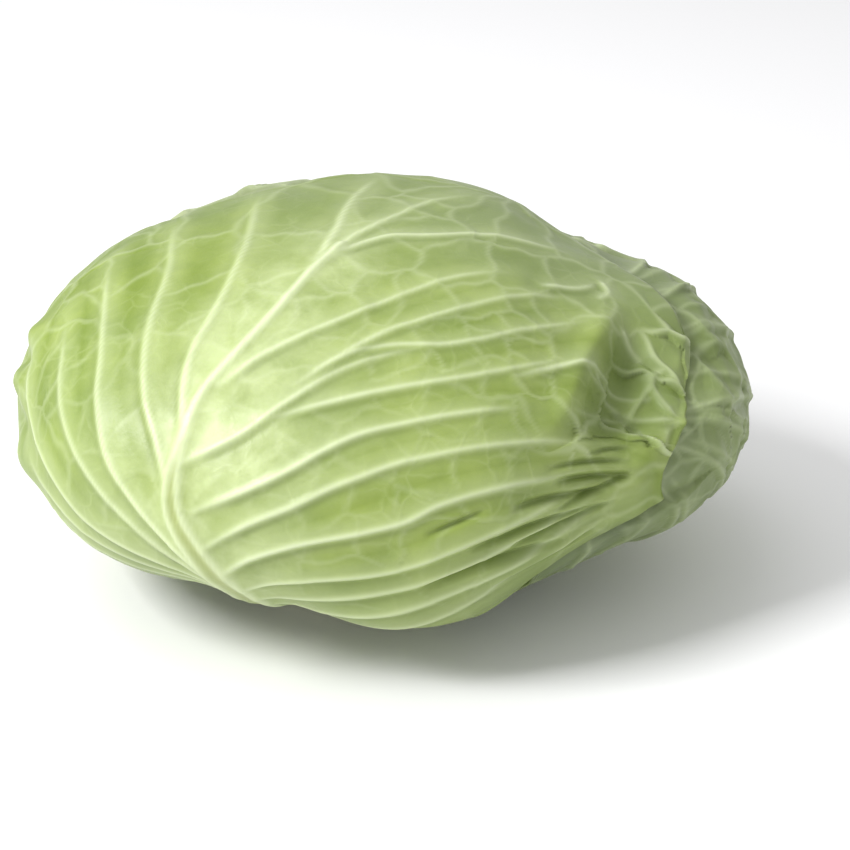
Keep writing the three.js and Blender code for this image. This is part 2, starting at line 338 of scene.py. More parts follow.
def core_point(d, share):
    """Point at a share of the way from the heart to the space under the wrapper leaves. That
    space lies 22 mm deep, and 7 mm deeper about the crown, under the plain head."""
    angle = np.degrees(np.arccos(np.clip(d @ STEM_SIDE, -1, 1)))
    depth = CORE_DEPTH + CROWN_DEPTH * np.exp(-(((180 - angle) / CROWN_REACH) ** 2))
    point = head_scale(d) * d + HEAD_MIDDLE - outward(d) * depth[..., None]
    return HEART + (point - HEART) * np.asarray(share)[..., None]


def folded_bud():
    """A globe of directions about the stem's axis. Its share of the core is less by a groove
    along each of seven folds that wind round it: 8% * exp(-(sin(7(a + b) / 2) / 0.3)^2)."""
    b = np.linspace(0, np.pi, BUD_ROWS + 1)[1:-1, None]
    a = np.arange(BUD_AROUND)[None, :] * 2 * np.pi / BUD_AROUND
    side = unit(np.cross(STEM_SIDE, (0, 0, 1.0)))
    up = np.cross(STEM_SIDE, side)
    d = (np.cos(b)[..., None] * STEM_SIDE
         + np.sin(b)[..., None] * (np.cos(a)[..., None] * side + np.sin(a)[..., None] * up))
    groove = np.exp(-((np.sin(3.5 * (a + 1.3 * b)) / 0.3) ** 2)) * np.sin(b) ** 0.5
    crinkle = np.sin(23 * a + 5 * np.sin(3 * b)) * np.sin(19 * b + 3 * np.sin(5 * a)) * np.sin(b)
    rows = core_point(d, BUD_SHARE * (0.98 - 0.08 * groove + 0.012 * crinkle))
    ends = core_point(np.array((STEM_SIDE, -STEM_SIDE)), BUD_SHARE * 0.97)
    return np.vstack((rows.reshape(-1, 3), ends)), ring_faces(len(rows), BUD_AROUND)


bud_finish, tree, shader = new_finish("young leaf", 0.45, 0.3, 0.004)
place = object_place(tree)
patch = spread(tree, noise(tree, place, 120, 4), 0.35, 0.65)
colour = blend_colour(tree, patch, srgb(236, 230, 160), srgb(222, 224, 140))
tree.links.new(colour, shader.inputs["Base Color"])
grain = noise(tree, place, 700, 3)
bump = add_node(tree, "ShaderNodeBump", {}, Strength=0.4, Distance=0.0004, Height=grain)
tree.links.new(bump.outputs[0], shader.inputs["Normal"])
vertices, faces = folded_bud()
shell_piece("heart_bud_leaves", vertices, faces, bud_finish, ["heart_bud"])

# ------------------------------------------------------------------------- inner leaves
# Twelve thin crisp leaves that fill the head, each folded over the ones inside it. They are
# pale because no light reaches them, and each grows from the stem by a thick white rib.
FRONT = unit(np.array((0, 0, 1.0)) - STEM_SIDE * STEM_SIDE[2])
RIGHT = np.cross(FRONT, STEM_SIDE)
GOLDEN_ANGLE = 137.5
WRAPPER_COUNT, INNER_COUNT = 8, 12
INNER_HALF_WIDTH, INNER_TIP, INNER_BASE, INNER_STEP = 76, 186, 24, 0.062
INNER_CELLS = (42, 34)
INNER_BLADE, INNER_RIB, INNER_RIB_WIDTH, INNER_WAVE = 0.013, 0.008, 16, 0.003
ROUNDING, STALK_SHARE, STALK_SPREAD = 0.25, 0.44, 0.13


def leaf_axes(turn):
    """The two axes of a leaf turned about the stem: along its midrib, and across it."""
    t = np.radians(turn)
    return FRONT * np.cos(t) + RIGHT * np.sin(t), RIGHT * np.cos(t) - FRONT * np.sin(t)


def leaf_direction(axes, p, q):
    """Unit vectors at p and q degrees on a leaf."""
    p, q = np.radians(p)[..., None], np.radians(q)[..., None]
    return np.cos(q) * (np.cos(p) * STEM_SIDE + np.sin(p) * axes[0]) + np.sin(q) * axes[1]


def leaf_place(axes, d):
    """The p and q of unit vectors on a leaf, with p counted on past the crown."""
    p = np.degrees(np.arctan2(d @ axes[0], d @ STEM_SIDE))
    return np.where(p < -90, p + 360, p), np.degrees(np.arcsin(np.clip(d @ axes[1], -1, 1)))


def width_share(u):
    """Share of a leaf's full width at u: narrow at the stalk."""
    return STALK_SHARE + (1 - STALK_SHARE) * ease(u, -1, -1 + 2 * STALK_SPREAD)


def leaf_outline(base, tip, half_width, cells, rounding=ROUNDING):
    """p and q on a grid of u from stalk (-1) to tip (1) and v from side (-1) to side (1). The
    leaf is narrow at the stalk, and its two corners beyond the middle are rounded."""
    u, v = np.meshgrid(np.linspace(-1, 1, cells[0] + 1), np.linspace(-1, 1, cells[1] + 1), indexing="ij")
    along = np.where(u > 0, u * np.sqrt(1 - rounding * v * v), u)
    q = half_width * v * width_share(u) * np.where(u > 0, np.sqrt(1 - rounding * u * u), 1)
    end = tip(v) if callable(tip) else tip
    return (base + end) / 2 + (end - base) / 2 * along, q, u, v


def leaf_faces(cells, coarser):
    """Triangles of a closed leaf: a grid of cells outside, a grid with so many times fewer
    inside, and a rim that joins the two, one inner edge to each run of outer edges."""
    def grid(cells_here, start, flip):
        i, j = np.meshgrid(np.arange(cells_here[0]), np.arange(cells_here[1]), indexing="ij")
        a = (start + i * (cells_here[1] + 1) + j).ravel()
        b, c, d = a + 1, a + cells_here[1] + 2, a + cells_here[1] + 1
        quad = (a, d, c, b) if flip else (a, b, c, d)
        return np.vstack((np.stack(quad[:3], -1), np.stack((quad[0], quad[2], quad[3]), -1)))

    def edge(cells_here, start):
        n, m = cells_here
        row = m + 1
        return start + np.r_[np.arange(m), np.arange(n) * row + m, n * row + np.arange(m, 0, -1),
                             np.arange(n, 0, -1) * row]

    few = (cells[0] // coarser, cells[1] // coarser)
    start = (cells[0] + 1) * (cells[1] + 1)
    fine, coarse = edge(cells, 0), edge(few, start)
    i, j = np.arange(len(fine)), np.arange(len(coarse))
    rim = np.vstack((
        np.stack((fine[(i + 1) % len(fine)], fine, coarse[i // coarser]), -1),
        np.stack((fine[(coarser * (j + 1)) % len(fine)], coarse, coarse[(j + 1) % len(coarse)]), -1),
    ))
    return np.vstack((grid(cells, 0, False), grid(few, start, True), rim))


def inner_leaf(number):
    """A leaf of the filling: its outside and inside are two shares of the core, with a thicker
    rib along its middle and gentle waves across it."""
    axes = leaf_axes((WRAPPER_COUNT + number) * GOLDEN_ANGLE)
    share = 1 - INNER_STEP * number
    surfaces = []
    for inside in (0, 1):
        p, q, _, _ = leaf_outline(INNER_BASE, INNER_TIP, INNER_HALF_WIDTH, INNER_CELLS)
        d = leaf_direction(axes, p, q)
        rib = INNER_RIB * np.exp(-((q / INNER_RIB_WIDTH) ** 2))
        wave = INNER_WAVE * np.sin(np.radians(p * 9 + 40 * number)) * np.sin(np.radians(q * 7))
        wave = wave * ease(np.abs(q), 6, 20)
        surfaces.append(core_point(d, share - 0.004 + wave - inside * (INNER_BLADE + rib)).reshape(-1, 3))
    return np.vstack(surfaces)


for number in range(INNER_COUNT):
    depth_share = number / INNER_COUNT
    finish, tree, shader = new_finish(f"inner leaf {number + 1}", 0.42, 0.3, 0.004)
    place = object_place(tree)
    blotch = spread(tree, noise(tree, place, 45, 4), 0.3, 0.7)
    green = srgb(*(np.array((214, 224, 150)) * (1 - depth_share) + np.array((232, 228, 158)) * depth_share))
    pale = srgb(*(np.array((228, 233, 178)) * (1 - depth_share) + np.array((240, 236, 184)) * depth_share))
    net = add_node(tree, "ShaderNodeTexVoronoi", {"feature": "DISTANCE_TO_EDGE"}, Vector=place, Scale=110.0)
    net_line = spread(tree, net.outputs["Distance"], 0.0, 0.07, 1, 0)
    colour = blend_colour(tree, net_line, blend_colour(tree, blotch, green, pale), srgb(242, 243, 208))
    tree.links.new(colour, shader.inputs["Base Color"])
    bump = add_node(tree, "ShaderNodeBump", {}, Strength=0.35, Distance=0.0004, Height=net_line)
    tree.links.new(bump.outputs[0], shader.inputs["Normal"])
    shell_piece(f"inner_leaf_{number + 1}_blade", inner_leaf(number), leaf_faces(INNER_CELLS, 1), finish,
                [f"inner_leaf_{number + 1}"])

# ----------------------------------------------------------------------- wrapper leaves
# Eight green leaves wrap the head like shells, each under the one before. A leaf is a thin
# blade on a fleshy midrib, its veins stand out on the outside, and its margin lies down on
# the next leaf.
WRAPPER_HALF_WIDTH, WRAPPER_BASE, WRAPPER_TIP = 74, 17, 190
FRONT_ROUNDING, FRONT_TIP_CUT, COARSER = 0.4, 22, 6
BLADE, MARGIN_BLADE, RIB, RIB_WIDTH, RIB_REACH = 0.0011, 0.0005, 0.0016, 14, 35
WRAPPER_GAP, STALK_GAP, GAP_REACH = 0.0026, 0.0013, 50
METRES_PER_DEGREE = 0.00175
TUCK_CLEAR, TUCK_WAVE, TUCK_REACH = 0.0002, 0.0007, 0.012
VEIN_LEAST, VEIN_WHITE, VEIN_SAG = 1.2, 0.85, 0.0005
NET_LINE, NET_SLOPE, NET_PALE = 0.0013, 0.0042, 0.00095
INSIDE_MARK = 0.2
wrapper_axes = [leaf_axes(i * GOLDEN_ANGLE) for i in range(WRAPPER_COUNT)]
# Large dents and swellings of the wrapped head, placed on the front leaf: p, q, their reach
# along p and q in degrees, and their height in millimetres.
FRONT_LUMPS = (
    (150, 42, 9, 5, 1.4), (102, -52, 5, 5, 2.2), (84, -51, 6, 5, 2.4), (58, -43, 6, 6, 2.4),
    (93, -52, 4, 5, -1.8), (71, -48, 5, 6, -1.6), (158, -42, 4, 5, -1.8), (44, 52, 7, 10, 1.4),
    (66, 56, 6, 8, 1.2), (55, 50, 4, 12, -1.2), (78, 60, 5, 10, -1.4), (96, 64, 7, 7, -1.5),
    (106, 66, 4, 5, 1.4), (140, 66, 6, 5, 1.6), (128, 72, 5, 4, 1.5), (88, 20, 14, 12, 0.8),
    (116, 0, 16, 12, -0.5), (112, 60, 9, 6, -1.5), (168, 38, 14, 14, 2.0), (15, 22, 8, 8, -5.5),
    (14, -14, 7, 7, -3.0),
)
# The shoulder at the right end: the q of its crest at six places along p, and how deep the
# hollow beyond it is.
SHOULDER_P, SHOULDER_Q = (100, 108, 118, 128, 140, 152), (48, 49, 48, 46.5, 45, 43)
SHOULDER_CREST, SHOULDER_HOLLOW = 0.0022, 0.0068
CRUMPLES, CRUMPLE_HEIGHT = 90, 0.0007
lump_dice = np.random.default_rng(11)
crumple_place = unit(lump_dice.normal(size=(CRUMPLES, 3)))
crumple_reach = np.radians(lump_dice.uniform(5, 13, CRUMPLES))
crumple_height = lump_dice.uniform(-1, 1, CRUMPLES) * CRUMPLE_HEIGHT


def gap_under(p):
    """The free space under a wrapper leaf, least at the stalk."""
    return STALK_GAP + (WRAPPER_GAP - STALK_GAP) * ease(p, 0, GAP_REACH)


def blade_thickness(p, q):
    """Thickness of a wrapper leaf: a thin blade with a thicker rib that fades from the stalk."""
    return BLADE + RIB * np.exp(-((q / RIB_WIDTH) ** 2) - np.maximum(p, 0) / RIB_REACH)


def stalk_share(p):
    """Share of a wrapper leaf's full width at p: narrow at the stalk."""
    full = WRAPPER_BASE + STALK_SPREAD * (WRAPPER_TIP - WRAPPER_BASE)
    return STALK_SHARE + (1 - STALK_SHARE) * ease(p, WRAPPER_BASE, full)


def front_tip(v):
    """The front leaf's tip in degrees: over the crown on the right, short of it on the left."""
    return WRAPPER_TIP - FRONT_TIP_CUT * ease(-v * WRAPPER_HALF_WIDTH, 2, 34)


def wrapped_depth(count, d):
    """Depth that the first leaves take up, each fading out past its own rounded margin."""
    depth = 0.0
    for number, axes in enumerate(wrapper_axes[:count]):
        p, q = leaf_place(axes, d)
        rounding = FRONT_ROUNDING if number == 0 else ROUNDING
        corner = 1 - rounding
        across = q / WRAPPER_HALF_WIDTH
        tip = front_tip(np.clip(across / np.sqrt(corner), -1, 1)) if number == 0 else WRAPPER_TIP
        middle, half = (WRAPPER_BASE + tip) / 2, (tip - WRAPPER_BASE) / 2
        along = np.maximum((p - middle) / half, 0)
        tip_line = np.sqrt(1 - rounding * np.minimum(across**2, corner) / corner)
        side_line = np.sqrt(1 - rounding * np.minimum(along**2, corner) / corner) * stalk_share(p)
        past_side = np.abs(q) - WRAPPER_HALF_WIDTH * side_line
        beyond = np.maximum.reduce((past_side, (along - tip_line) * half, -p, 0 * p))
        depth = depth + (blade_thickness(p, q) + gap_under(p)) * (1 - ease(beyond, 1, 16))
    return depth


def shoulder_run(p):
    """Share of its full strength that the shoulder has at p, where it swells and dies away."""
    return ease(p, 96, 114) * (1 - ease(p, 142, 160))


def shoulder_past(p, q, reach):
    """How far past the crest of the shoulder a place is: 0 on it to 1 at the reach in degrees."""
    past = q - np.interp(p, SHOULDER_P, SHOULDER_Q)
    return ease(past, -1, reach) * shoulder_run(p)


def head_lumps(d):
    """Height of the large dents, swellings and crumples that all the wrapper leaves share: a sum
    of height * exp(-((p - p0) / a)^2 - ((q - q0) / b)^2), the crest of the shoulder with the
    hollow past it, and round crumples all over the head."""
    p, q = leaf_place(wrapper_axes[0], d)
    height = sum(h * MM * np.exp(-(((p - p0) / a) ** 2) - ((q - q0) / b) ** 2)
                 for p0, q0, a, b, h in FRONT_LUMPS)
    past = q - np.interp(p, SHOULDER_P, SHOULDER_Q)
    height = (height + SHOULDER_CREST * shoulder_run(p) * np.exp(-((past / 3) ** 2))
              - SHOULDER_HOLLOW * shoulder_past(p, q, 9) * (1 - ease(q, 58, 73)))
    for place, reach, rise in zip(crumple_place, crumple_reach, crumple_height):
        height = height + rise * np.exp((d @ place - 1) / (reach**2 / 2))
    return height


def near_path(points, path, reach):
    """Distance from each point to a path, and the share of its length there. Points farther
    than the reach from the path's box keep the reach."""
    distance, share = np.full(len(points), reach), np.ones(len(points))
    inside = np.flatnonzero(((points > path.min(0) - reach) & (points < path.max(0) + reach)).all(1))
    at, best, where = points[inside], distance[inside], share[inside]
    for i in range(len(path) - 1):
        stretch = path[i + 1] - path[i]
        t = np.clip((at - path[i]) @ stretch / (stretch @ stretch), 0, 1)
        away = np.linalg.norm(at - path[i] - t[:, None] * stretch, axis=1)
        closer = away < best
        best = np.where(closer, away, best)
        where = np.where(closer, (i + t) / (len(path) - 1), where)
    distance[inside], share[inside] = best, where
    return distance, share


def net_distance(points, knots, wobble):
    """Distance to the nearest wall between cells, where each cell is nearest to one knot:
    (second^2 - first^2) / (2 * distance between the two knots). Points wobble first."""
    moved = points + wobble * np.sin(points[:, [1, 2, 0]] * 310)
    moved = moved + 0.5 * wobble * np.sin(points[:, [2, 0, 1]] * 730)
    apart = ((moved[:, None, :] - knots[None]) ** 2).sum(-1)
    two = np.argpartition(apart, 1, axis=1)[:, :2]
    near = np.take_along_axis(apart, two, 1)
    swap = near[:, 0] > near[:, 1]
    two[swap], near[swap] = two[swap][:, ::-1], near[swap][:, ::-1]
    return (near[:, 1] - near[:, 0]) / (2 * np.linalg.norm(knots[two[:, 0]] - knots[two[:, 1]], axis=1))


def vein_relief(points, p, on_skin, veins, reach=0.012):
    """Height, paleness and painted shade of side veins, and the distance to the nearest. Each vein is
    (width, height, paleness, stations) in millimetres and degrees. It rises by
    height * exp(-(distance / width)^2), less and narrower towards its end, and the blade is
    lower on its side towards the stalk, by a narrow groove and a broad step, which are also
    painted darker as shade."""
    height, low, pale, painted_shade = (np.zeros(len(points)) for _ in range(4))
    nearest = np.full(len(points), reach)
    for width, tall, white, stations in veins:
        stations = smooth_curve(stations, 4)
        away, share = near_path(points, on_skin(stations), reach)
        foot = np.interp(share, np.linspace(0, 1, len(stations)), stations[:, 0])
        below = ease(foot - p, -0.3, 0.6) * (away < reach)
        fade = (1 - 0.5 * share) * (0.4 + 0.6 * ease(share, 0.0, 0.1)) * (1 - ease(share, 0.8, 1))
        breadth = np.maximum(width * (1 - 0.5 * share), VEIN_LEAST) * MM
        height = np.maximum(height, tall * MM * fade * np.exp(-((away / breadth) ** 2)))
        groove = fade * below * np.exp(-(((away - 1.9 * breadth) / (0.9 * breadth)) ** 2))
        step = fade * below * ease(away, 0, 0.002) * np.exp(-(((away - 0.003) / 0.0035) ** 2))
        low = np.maximum(low, tall * MM * (0.35 * groove + 0.6 * step))
        halo = 0.25 * (1 - below) * np.exp(-((away / (4 * breadth)) ** 2))
        line = np.exp(-((away / (0.78 * breadth)) ** 2))
        pale = np.maximum(pale, white * VEIN_WHITE * fade * (line + halo))
        # Painted shade: the groove and the step below each vein are painted darker.
        painted_shade = np.maximum(painted_shade, fade * (0.5 * groove + 0.35 * step))
        nearest = np.minimum(nearest, away)
    return height - low, np.minimum(pale, 1), painted_shade, nearest


def midrib_relief(points, on_skin, stations, half_width, tall):
    """Height, paleness, olive tint and flesh of a midrib. A broad swelling,
    height * exp(-(distance / half width)^2), carries two pale ridges with an olive furrow
    between them, and all of it narrows from the stalk to the tip."""
    away, share = near_path(points, on_skin(smooth_curve(stations, 5)), 0.05)
    breadth = half_width * (1 - 0.82 * ease(share, 0, 0.75))
    line = 0.4 * breadth * (1 - ease(share, 0.45, 0.68))
    ridges = np.exp(-(((away - line) / np.maximum(0.2 * breadth, 0.0012)) ** 2))
    furrow = np.exp(-((away / np.maximum(0.28 * breadth, 0.0012)) ** 2))
    strength = 1 - ease(share, 0.42, 0.66)
    height = (tall * (0.16 + 0.34 * (1 - ease(share, 0.1, 0.6)) + 0.5 * (1 - ease(share, 0.04, 0.22)))
              * np.exp(-((away / breadth) ** 2))
              + 0.0005 * ridges * (0.3 + 0.7 * strength) - 0.0004 * furrow * strength)
    wide = 0.012 + 0.016 * np.exp(-(((share - 0.5) / 0.3) ** 2))
    flesh_and_painted_highlight = 0.62 * np.exp(-((away / wide) ** 2)) + 0.3 * np.exp(-((away / 0.045) ** 2))
    return height, 0.8 * ridges + 0.25 * furrow * (1 - strength), furrow * strength, flesh_and_painted_highlight, away


def lateral_veins(dice, count):
    """Side veins of a plain leaf: each leaves the midrib, sweeps outwards and towards the tip,
    and forks once. Its p rises by a share of its q that grows from the stalk to the tip."""
    veins = []
    for i in range(count):
        for side in (-1, 1):
            start = 24 + 140 * (i + 0.25 * side + dice.uniform(-0.15, 0.15)) / count
            lean = 0.25 + 0.55 * (start / 160) + dice.uniform(-0.08, 0.08)
            q = np.array((1.0, 12, 26, 42, 58, 70))
            p = start + lean * q + 0.004 * q**2 * dice.uniform(-0.5, 1.2) + np.r_[0, dice.uniform(-2, 2, 5)]
            veins.append((1.3, 0.8, 0.85, np.stack((p, side * q), -1)))
            fork_q = np.array((26.0, 38, 50, 62))
            fork_p = np.interp(26, q, p) + (lean + 0.5) * (fork_q - 26) + np.r_[0, dice.uniform(-2, 2, 3)]
            veins.append((0.9, 0.4, 0.55, np.stack((fork_p, side * fork_q), -1)))
    return veins


def fold_grooves(points, on_skin, folds):
    """Depth and painted shade of sharp folds, each (width, depth, stations) in millimetres and
    degrees: depth * exp(-(distance / width)^2), and nothing at both ends. The shade painted into
    the crease is the groove to the power 1.5."""
    sunk, painted_shade = np.zeros(len(points)), np.zeros(len(points))
    for width, deep, stations in folds:
        away, share = near_path(points, on_skin(smooth_curve(stations, 4)), 0.008)
        ends = np.sin(np.pi * np.clip(share, 0, 1)) ** 0.5
        groove = np.exp(-((away / (width * MM)) ** 2)) * ends
        sunk = sunk + deep * MM * groove
        # Painted shade in the crease of each fold.
        painted_shade = np.maximum(painted_shade, groove**1.5)
    return sunk, painted_shade


def net_relief(points, p, q, on_skin, dice, net):
    """Height and paleness of the net of small veins round the cells of the blade. A vein is a
    sharp line on a broad slope, both exp(-(distance / width)^2) of the distance to the wall."""
    knot_count, wobble, tall, white, net_where = net
    knot_p, knot_q = dice.uniform(WRAPPER_BASE, WRAPPER_TIP, knot_count), dice.uniform(-1, 1, knot_count)
    knot_q = np.degrees(np.arcsin(knot_q * np.sin(np.radians(WRAPPER_HALF_WIDTH))))
    wall = net_distance(points, on_skin(np.stack((knot_p, knot_q), -1)), wobble)
    where = net_where(p, q)
    line = np.exp(-((wall / NET_LINE) ** 2))
    slope = np.exp(-((wall / NET_SLOPE) ** 2))
    return (tall * where * (0.3 * line + 0.7 * slope - 0.3),
            white * np.sqrt(where) * np.exp(-((wall / NET_PALE) ** 2)))


def wrapper_surfaces(number, tip, cells, rounding, midrib, veins, folds, net):
    """Outside and inside of a wrapper leaf, and its marks.

    The outside is skin + lumps - depth of the leaves over it + veins, midrib and net - folds -
    sag between veins, and near the margin it bends down by the free space under it. The inside
    is one thickness lower and follows only the large forms."""
    axes = wrapper_axes[number]
    dice = np.random.default_rng(100 + number)

    def sheet(cells_here):
        p, q, u, v = leaf_outline(WRAPPER_BASE, tip, WRAPPER_HALF_WIDTH, cells_here, rounding)
        d = leaf_direction(axes, p, q)
        to_side = (1 - np.abs(v)) * WRAPPER_HALF_WIDTH * width_share(u) * METRES_PER_DEGREE
        to_tip = (1 - u) * 0.5 * (WRAPPER_TIP - WRAPPER_BASE) * METRES_PER_DEGREE
        margin = np.minimum(to_side, to_tip)
        wave = 0.5 + 0.5 * np.sin(p * 0.21 + 2.1 * number) * np.sin(q * 0.17 + number)
        tuck = ((gap_under(p) - TUCK_CLEAR - TUCK_WAVE * wave) * (1 - ease(margin, 0, TUCK_REACH))
                * ease(p, 20, 30))
        low = head_lumps(d) - wrapped_depth(number, d) - tuck
        return p.ravel(), q.ravel(), d.reshape(-1, 3), low.ravel(), margin.ravel()

    def on_skin(places):
        places = np.asarray(places, float)
        d = leaf_direction(axes, places[:, 0], places[:, 1])
        return skin(d) + outward(d) * (head_lumps(d) - wrapped_depth(number, d))[:, None]

    p, q, d, low, margin = sheet(cells)
    bare = skin(d) + outward(d) * low[:, None]
    height, pale, painted_shade, nearest = vein_relief(bare, p, on_skin, veins)
    rib_height, rib_pale, olive, flesh_and_painted_highlight, rib_away = midrib_relief(bare, on_skin, *midrib)
    height = height * ease(rib_away, 0.001, 0.006) + rib_height
    pale = np.maximum(pale, rib_pale)
    nearest = np.minimum(nearest, rib_away)
    sunk, fold_painted_shade = fold_grooves(bare, on_skin, folds)
    painted_shade = np.maximum(painted_shade, fold_painted_shade)
    net_height, net_pale = net_relief(bare, p, q, on_skin, dice, net)
    sag = ease(nearest, 0, 0.011)
    height = height - sunk + net_height - VEIN_SAG * sag
    flesh_and_painted_highlight = flesh_and_painted_highlight * (0.45 + 0.55 * ease(p, 25, 62)) * (1 - 0.45 * ease(-q, 5, 22))
    if number == 0:
        # A painted highlight on the front leaf: a pale patch beside the midrib where the light falls, added
        # to the pale flesh mark.
        flesh_and_painted_highlight = np.clip(flesh_and_painted_highlight + 0.42 * np.exp(-(((p - 92) / 14) ** 2) - ((q - 12) / 11) ** 2), 0, 1)
        # Painted shade on the front leaf: the hollow past the shoulder, which turns away from the light, is
        # painted darker.
        painted_shade = np.maximum(painted_shade, 0.95 * shoulder_past(p, q, 5) * (1 - ease(q, 64, 73)))
    side_bloom = 0.2 + 0.5 * ease(-q, 36, 56) if number == 0 else 1
    stalk_bloom = 0.9 * (1 - ease(p, 24, 48 + 40 * ease(-q, 0, 20)))
    bloom = np.clip(ease(p, 122, 168) + side_bloom * ease(np.abs(q), 44, 66) + stalk_bloom, 0, 1)
    covered = np.clip(wrapped_depth(number, d) / (BLADE + WRAPPER_GAP), 0, 1)
    fade = (0.25 + 0.75 * ease(margin, 0, 0.004)) * (1 - 0.7 * covered)
    outside = skin(d) + outward(d) * (low + height * fade)[:, None]
    pale = np.maximum(pale, net_pale)
    few = (cells[0] // COARSER, cells[1] // COARSER)
    p2, q2, d2, low2, margin2 = sheet(few)
    wide = 0.0
    for width, deep, stations in folds:
        away, _ = near_path(skin(d2), on_skin(smooth_curve(stations, 4)), 0.02)
        wide = np.maximum(wide, deep * MM * np.exp(-((away / 0.008) ** 2)))
    thick = MARGIN_BLADE + (blade_thickness(p2, q2) + 0.0006 - MARGIN_BLADE) * ease(margin2, 0, 0.006)
    inside = skin(d2) + outward(d2) * (low2 - thick - wide * 0.8)[:, None]
    outside[:, 2], inside[:, 2] = np.maximum(outside[:, 2], 0.0), np.maximum(inside[:, 2], 0.0002)
    marks = {"pale": pale, "painted_shade": painted_shade, "sag": sag, "flesh_and_painted_highlight": flesh_and_painted_highlight, "olive": olive, "bloom": bloom}
    plain_inside = np.full(len(p2), INSIDE_MARK)
    return np.vstack((outside, inside)), {name: np.r_[mark, plain_inside] for name, mark in marks.items()}


def leaf_finish(name, deep_green, green, pale, vein_tint, bloom_tint, bloom_share):
    """Green between the veins, paler on and beside them and towards the stalk, with blotches, a
    fine net of small veins, a grey waxy bloom that grows towards the tip, and a soft gloss. Pale
    flesh beside the midrib carries a painted highlight on the front leaf, and painted shade darkens
    vein grooves, folds and the hollow past the shoulder."""
    finish, tree, shader = new_finish(name, 0.42, 0.08, 0.003)
    place = object_place(tree)

    def mark(title):
        return add_node(tree, "ShaderNodeAttribute", {"attribute_name": title}).outputs["Fac"]

    def times(a, b):
        return add_node(tree, "ShaderNodeMath", {"operation": "MULTIPLY"}, i0=a, i1=b).outputs[0]

    blotch = spread(tree, noise(tree, place, 34, 5, 0.6), 0.36, 0.66)
    colour = blend_colour(tree, blotch, srgb(*deep_green), srgb(*green))
    colour = blend_colour(tree, spread(tree, mark("sag"), 0.4, 1.0, 0.0, 0.45), colour, srgb(*deep_green))
    colour = blend_colour(tree, spread(tree, mark("sag"), 0.0, 0.8, 0.24, 0.0), colour, srgb(*pale))
    cloud = spread(tree, noise(tree, place, 55, 4, 0.6), 0.38, 0.6, 0.4, 1.0)
    # Pale flesh along the midrib, and on the front leaf a painted highlight patch as well.
    colour = blend_colour(tree, times(mark("flesh_and_painted_highlight"), cloud), colour, srgb(*pale))
    warp = add_node(tree, "ShaderNodeTexNoise", {}, Vector=place, Scale=90.0, Detail=2.0)
    bent = add_node(tree, "ShaderNodeMix", {"data_type": "VECTOR"}, i0=0.008, i4=place, i5=warp.outputs[1])
    net = add_node(tree, "ShaderNodeTexVoronoi", {"feature": "DISTANCE_TO_EDGE"}, Vector=bent.outputs[1],
                   Scale=120.0)
    net_where = spread(tree, noise(tree, place, 55, 2), 0.42, 0.62)
    net_line = times(spread(tree, net.outputs["Distance"], 0.0, 0.1, 1, 0), net_where)
    colour = blend_colour(tree, times(net_line, 0.16), colour, srgb(*pale))
    waxy = times(mark("bloom"), spread(tree, noise(tree, place, 26, 4), 0.3, 0.7, 0.55, 1.0))
    colour = blend_colour(tree, times(waxy, bloom_share), colour, srgb(*bloom_tint))
    colour = blend_colour(tree, times(mark("pale"), 0.85), colour, srgb(*vein_tint))
    colour = blend_colour(tree, times(mark("olive"), 0.7), colour, srgb(150, 160, 92))
    # Painted shade: dark green in vein grooves, fold creases and the hollow past the shoulder.
    colour = blend_colour(tree, times(mark("painted_shade"), 0.6), colour, srgb(88, 108, 34))
    tree.links.new(colour, shader.inputs["Base Color"])
    gloss = spread(tree, noise(tree, place, 90, 4), 0.3, 0.7, 0.36, 0.52)
    tree.links.new(gloss, shader.inputs["Roughness"])
    shader.inputs["Specular IOR Level"].default_value = 0.38
    shader.inputs["Sheen Weight"].default_value = 0.03
    shader.inputs["Sheen Roughness"].default_value = 0.5
    pores = noise(tree, place, 950, 4, 0.6)
    bump = add_node(tree, "ShaderNodeBump", {}, Strength=0.1, Distance=0.0005, Height=net_line)
    fine = add_node(tree, "ShaderNodeBump", {}, Strength=0.15, Distance=0.0004, Height=pores,
                    Normal=bump.outputs[0])
    tree.links.new(fine.outputs[0], shader.inputs["Normal"])
    return finish


